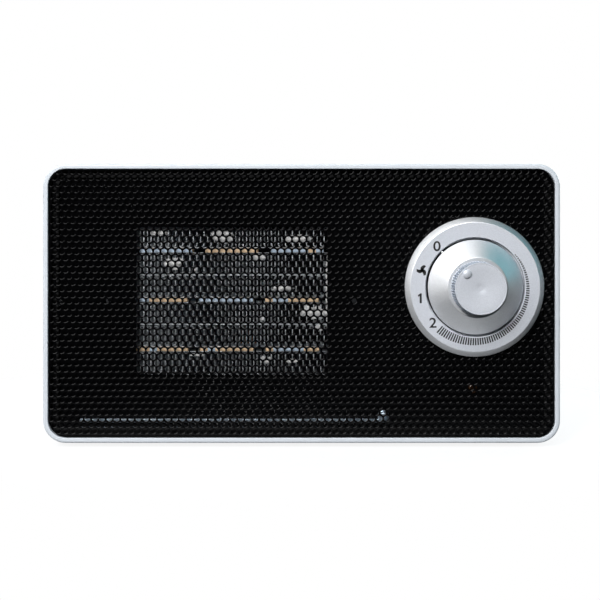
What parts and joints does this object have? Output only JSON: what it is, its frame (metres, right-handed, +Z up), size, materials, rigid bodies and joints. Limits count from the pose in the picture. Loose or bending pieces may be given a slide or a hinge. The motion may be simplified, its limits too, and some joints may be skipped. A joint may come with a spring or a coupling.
{
  "type": "ceramic fan heater",
  "caption": "Desktop ceramic fan heater: white box casing, black perforated front, finned heating element, axial fan and a double dial for heat setting and thermostat.",
  "frame": {"origin": "centre of the footprint, on the surface the feet stand on", "axes": "+X to the right as seen from the front, +Y from the grille towards the rear cover, +Z up"},
  "size_m": [0.265, 0.1486, 0.1452],
  "materials": {
    "white_abs": "fine satin moulded white",
    "grille_black": "semi-gloss black powder coat",
    "black_pbt": "matte heat-resistant moulding",
    "silver_paint": "silver metallic paint",
    "fin_aluminium": "mill finish, slightly dusty",
    "ceramic": "ceramic stones bonded between metal strips",
    "steel": "bright zinc plated",
    "lamination": "blued laminations",
    "coil_tape": "varnished coil tape",
    "nylon": "natural nylon",
    "rubber": "soft matte rubber",
    "lamp_amber": "clear amber lens, unlit",
    "pvc_black": "wire insulation",
    "pvc_blue": "wire insulation",
    "pvc_red": "wire insulation"
  },
  "bodies": {
    "casing": {"air_duct": "black_pbt", "baffle_screw_1": "steel", "baffle_screw_2": "steel", "bracket_screw_1": "steel", "bracket_screw_2": "steel", "cord_bushing": "rubber", "cover_screw_1": "steel", "cover_screw_2": "steel", "cover_screw_3": "steel", "cover_screw_4": "steel", "dial_bezel": "silver_paint", "duct_screw_1": "steel", "duct_screw_2": "steel", "element_cap_left": "black_pbt", "element_cap_right": "black_pbt", "fin_strip_1_lower": "fin_aluminium", "fin_strip_1_upper": "fin_aluminium", "fin_strip_2_lower": "fin_aluminium", "fin_strip_2_upper": "fin_aluminium", "fin_strip_3_lower": "fin_aluminium", "fin_strip_3_upper": "fin_aluminium", "foot_front_left": "rubber", "foot_front_right": "rubber", "foot_rear_left": "rubber", "foot_rear_right": "rubber", "front_baffle": "black_pbt", "front_frame": "white_abs", "front_grille": "grille_black", "indicator_lamp": "lamp_amber", "lead_heat": "pvc_red", "lead_live": "pvc_black", "lead_neutral": "pvc_blue", "main_housing": "white_abs", "motor_bolt_1": "steel", "motor_bolt_2": "steel", "motor_bracket": "steel", "motor_coil": "coil_tape", "motor_core": "lamination", "ptc_row_1": "ceramic", "ptc_row_2": "ceramic", "ptc_row_3": "ceramic", "rear_bearing_strip": "steel", "rear_cover": "white_abs", "retainer_bar": "steel", "retainer_screw": "steel", "rotary_switch": "nylon", "spacer_plate_lower": "fin_aluminium", "spacer_plate_upper": "fin_aluminium", "terminal_block": "nylon", "thermal_cutout": "nylon", "thermostat": "coil_tape", "tip_switch_case": "nylon", "tip_switch_spring": "steel"},
    "selector": {"selector_ring": "silver_paint", "switch_sleeve": "nylon"},
    "thermostat_control": {"thermostat_knob": "silver_paint", "thermostat_spindle": "steel"},
    "fan": {"fan_impeller": "black_pbt", "motor_rotor": "steel"},
    "tip_plunger": {"tip_switch_plunger": "black_pbt"}
  },
  "joints": [
    {"name": "selector_turn", "type": "hinge", "parent": "casing", "child": "selector", "pos_m": [0.0885, -0.0489, 0.0822], "axis": [0, -1, 0], "range_deg": [0, 87]},
    {"name": "thermostat_turn", "type": "hinge", "parent": "casing", "child": "thermostat_control", "pos_m": [0.0885, -0.0489, 0.0822], "axis": [0, -1, 0], "range_deg": [-265, 0]},
    {"name": "fan_spin", "type": "hinge", "parent": "casing", "child": "fan", "pos_m": [-0.0362, 0.0115, 0.075], "axis": [0, -1, 0], "continuous": true},
    {"name": "tip_plunger_slide", "type": "slide", "parent": "casing", "child": "tip_plunger", "axis": [0, 0, 1], "range_m": [-0.005, 0], "stiffness_N_per_m": 60, "springref_m": -0.012, "deforming": ["tip_switch_spring"]}
  ]
}
